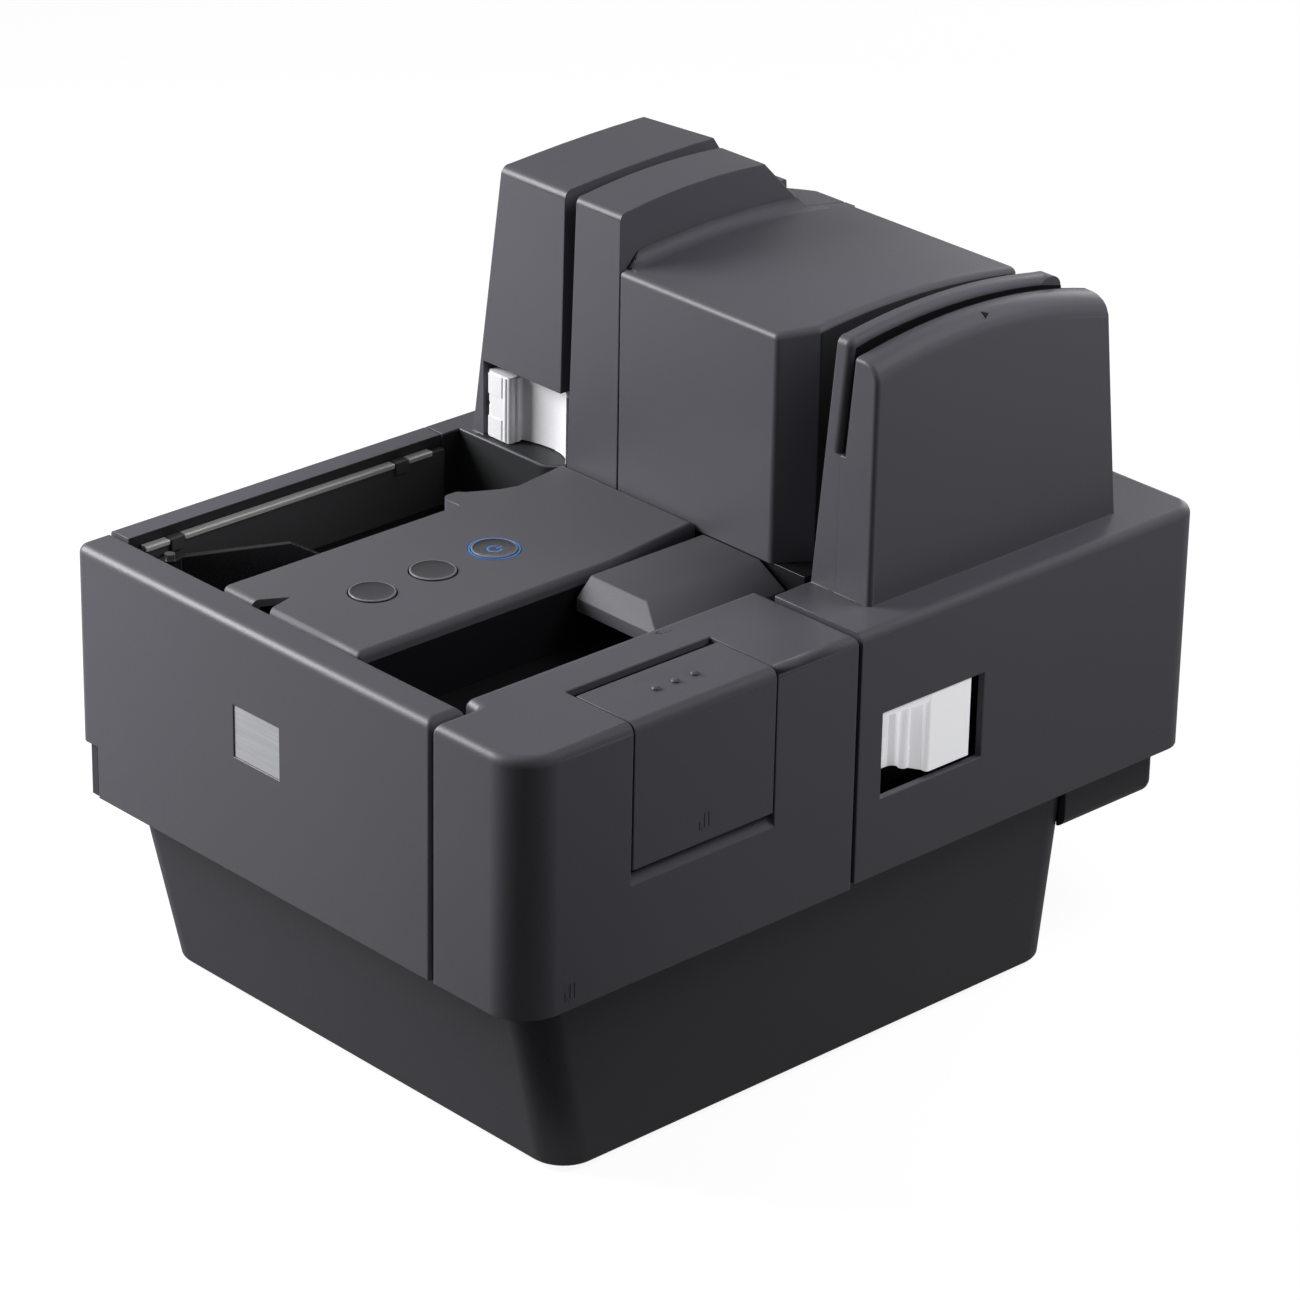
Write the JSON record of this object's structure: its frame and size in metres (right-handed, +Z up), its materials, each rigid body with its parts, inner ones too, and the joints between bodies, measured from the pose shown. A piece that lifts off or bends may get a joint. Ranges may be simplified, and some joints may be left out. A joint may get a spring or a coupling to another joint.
{
  "type": "cheque scanner",
  "caption": "Desktop cheque scanner with a feed hopper, an exit pocket, two swing-open towers round a horseshoe track, a card slot and a tapered pedestal.",
  "frame": {"origin": "centre of the overall box, on the table under the feet", "axes": "+Z up, -Y to the front face with the pockets, +X to the side with the card slot"},
  "size_m": [0.191, 0.2644, 0.2264],
  "materials": {
    "body_shell": "fine grained charcoal moulding",
    "lower_shell": "fine grained dark grey moulding",
    "inner_frame": "smooth black moulding",
    "pale_lever": "smooth pale grey moulding",
    "dark_button": "satin dark cap",
    "bright_steel": "polished sheet and ground pins",
    "badge_metal": "blank brushed plate",
    "blue_light": "lit blue light guide",
    "sensor_glass": "dark cover glass",
    "sensor_body": "black sensor bar",
    "circuit_board": "green coated board",
    "roller_rubber": "ground black rubber on a steel shaft",
    "foot_rubber": "soft black rubber",
    "belt_rubber": "flat black belt",
    "idler_plastic": "natural white acetal",
    "motor_metal": "grey zinc plated can",
    "cartridge_plastic": "black cartridge shell",
    "socket_shell": "black connector shell"
  },
  "bodies": {
    "base": {"badge_plate": "badge_metal", "button_board": "circuit_board", "cartridge_holder": "inner_frame", "centre_block_cover": "body_shell", "centre_block_ridge": "body_shell", "control_panel": "body_shell", "data_socket": "socket_shell", "drive_belt": "belt_rubber", "drive_motor": "motor_metal", "exit_head": "body_shell", "front_cover": "body_shell", "hatch_pin": "bright_steel", "hinge_pins": "bright_steel", "hopper_liner": "inner_frame", "inner_image_sensor": "sensor_body", "inner_sensor_glass": "sensor_glass", "left_hinge_bracket": "inner_frame", "left_sill": "lower_shell", "left_wall": "body_shell", "magnet_head": "sensor_body", "main_board": "circuit_board", "main_chassis": "lower_shell", "pedestal": "lower_shell", "power_inlet": "socket_shell", "power_ring": "blue_light", "print_cartridge": "cartridge_plastic", "rear_cover": "body_shell", "rear_underbody": "lower_shell", "right_front_cover": "body_shell", "right_hinge_bracket": "inner_frame", "rubber_feet": "foot_rubber", "track_guide": "inner_frame", "track_pins": "bright_steel", "transport_deck": "inner_frame", "turn_guide": "inner_frame", "wear_strip": "bright_steel"},
    "left_cover": {"left_cover": "body_shell", "left_pinch_bracket": "inner_frame", "left_lever_slide": "inner_frame", "outer_image_sensor": "sensor_body", "outer_sensor_glass": "sensor_glass"},
    "right_cover": {"right_cover": "body_shell", "right_pinch_bracket": "inner_frame", "right_lever_slide": "inner_frame", "card_reader_head": "sensor_body"},
    "left_lever": {"left_lever": "pale_lever"},
    "right_lever": {"right_lever": "pale_lever"},
    "hatch_cover": {"hatch_cover": "body_shell"},
    "pusher_plate": {"pusher_plate": "inner_frame"},
    "front_button": {"front_button": "dark_button"},
    "middle_button": {"middle_button": "dark_button"},
    "power_button": {"power_button": "dark_button"},
    "left_pinch_roller": {"left_pinch_roller": "idler_plastic"},
    "right_pinch_roller": {"right_pinch_roller": "idler_plastic"},
    "turn_pinch_roller": {"turn_pinch_roller": "idler_plastic"},
    "feed_drive_roller": {"feed_drive_roller": "roller_rubber"},
    "left_drive_roller": {"left_drive_roller": "roller_rubber"},
    "rear_drive_roller": {"rear_drive_roller": "roller_rubber"},
    "right_drive_roller": {"right_drive_roller": "roller_rubber"},
    "motor_pulley": {"motor_pulley": "idler_plastic"}
  },
  "joints": [
    {"name": "left_cover_swing", "type": "hinge", "parent": "base", "child": "left_cover", "pos_m": [-0.062, 0.127, 0.0975], "axis": [0, 0, 1], "range_deg": [-55, 0]},
    {"name": "right_cover_swing", "type": "hinge", "parent": "base", "child": "right_cover", "pos_m": [0.062, 0.127, 0.0975], "axis": [0, 0, 1], "range_deg": [0, 55]},
    {"name": "left_lever_press", "type": "slide", "parent": "left_cover", "child": "left_lever", "axis": [-1, 0, 0], "range_m": [0, 0.0008], "stiffness_N_per_m": 400},
    {"name": "right_lever_press", "type": "slide", "parent": "right_cover", "child": "right_lever", "axis": [0, 1, 0], "range_m": [0, 0.004], "stiffness_N_per_m": 400},
    {"name": "hatch_hinge", "type": "hinge", "parent": "base", "child": "hatch_cover", "pos_m": [0.0929, -0.06595, 0.095], "axis": [0, 1, 0], "range_deg": [0, 80]},
    {"name": "pusher_pivot", "type": "hinge", "parent": "base", "child": "pusher_plate", "pos_m": [-0.0803, -0.11, 0.1231], "axis": [0, 0, 1], "range_deg": [0, 20], "stiffness_Nm_per_rad": 0.02},
    {"name": "front_button_press", "type": "slide", "parent": "base", "child": "front_button", "axis": [0, 0, -1], "range_m": [0, 0.0008], "stiffness_N_per_m": 500},
    {"name": "middle_button_press", "type": "slide", "parent": "base", "child": "middle_button", "axis": [0, 0, -1], "range_m": [0, 0.0008], "stiffness_N_per_m": 500},
    {"name": "power_button_press", "type": "slide", "parent": "base", "child": "power_button", "axis": [0, 0, -1], "range_m": [0, 0.0008], "stiffness_N_per_m": 500},
    {"name": "left_pinch_roller_spin", "type": "hinge", "parent": "left_cover", "child": "left_pinch_roller", "pos_m": [-0.0494, 0.0572, 0.1243], "axis": [0, 0, 1], "continuous": true},
    {"name": "right_pinch_roller_spin", "type": "hinge", "parent": "right_cover", "child": "right_pinch_roller", "pos_m": [0.0647, 0.0572, 0.1243], "axis": [0, 0, 1], "continuous": true},
    {"name": "turn_pinch_roller_spin", "type": "hinge", "parent": "base", "child": "turn_pinch_roller", "pos_m": [0.00765, 0.1176, 0.1243], "axis": [0, 0, 1], "continuous": true},
    {"name": "feed_drive_roller_spin", "type": "hinge", "parent": "base", "child": "feed_drive_roller", "pos_m": [-0.041, -0.024, 0.1017], "axis": [0, 0, 1], "continuous": true},
    {"name": "left_drive_roller_spin", "type": "hinge", "parent": "base", "child": "left_drive_roller", "pos_m": [-0.035, 0.0572, 0.1017], "axis": [0, 0, 1], "continuous": true},
    {"name": "rear_drive_roller_spin", "type": "hinge", "parent": "base", "child": "rear_drive_roller", "pos_m": [0.00765, 0.1032, 0.1017], "axis": [0, 0, 1], "continuous": true},
    {"name": "right_drive_roller_spin", "type": "hinge", "parent": "base", "child": "right_drive_roller", "pos_m": [0.0503, 0.0572, 0.1017], "axis": [0, 0, 1], "continuous": true},
    {"name": "motor_pulley_spin", "type": "hinge", "parent": "base", "child": "motor_pulley", "pos_m": [0.0045, -0.0444, 0.1017], "axis": [0, 0, 1], "continuous": true}
  ],
  "couplings": [
    {"joint": "left_drive_roller_spin", "follows": "feed_drive_roller_spin", "ratio": 1},
    {"joint": "rear_drive_roller_spin", "follows": "feed_drive_roller_spin", "ratio": 1},
    {"joint": "right_drive_roller_spin", "follows": "feed_drive_roller_spin", "ratio": 1},
    {"joint": "motor_pulley_spin", "follows": "feed_drive_roller_spin", "ratio": 1.6}
  ]
}
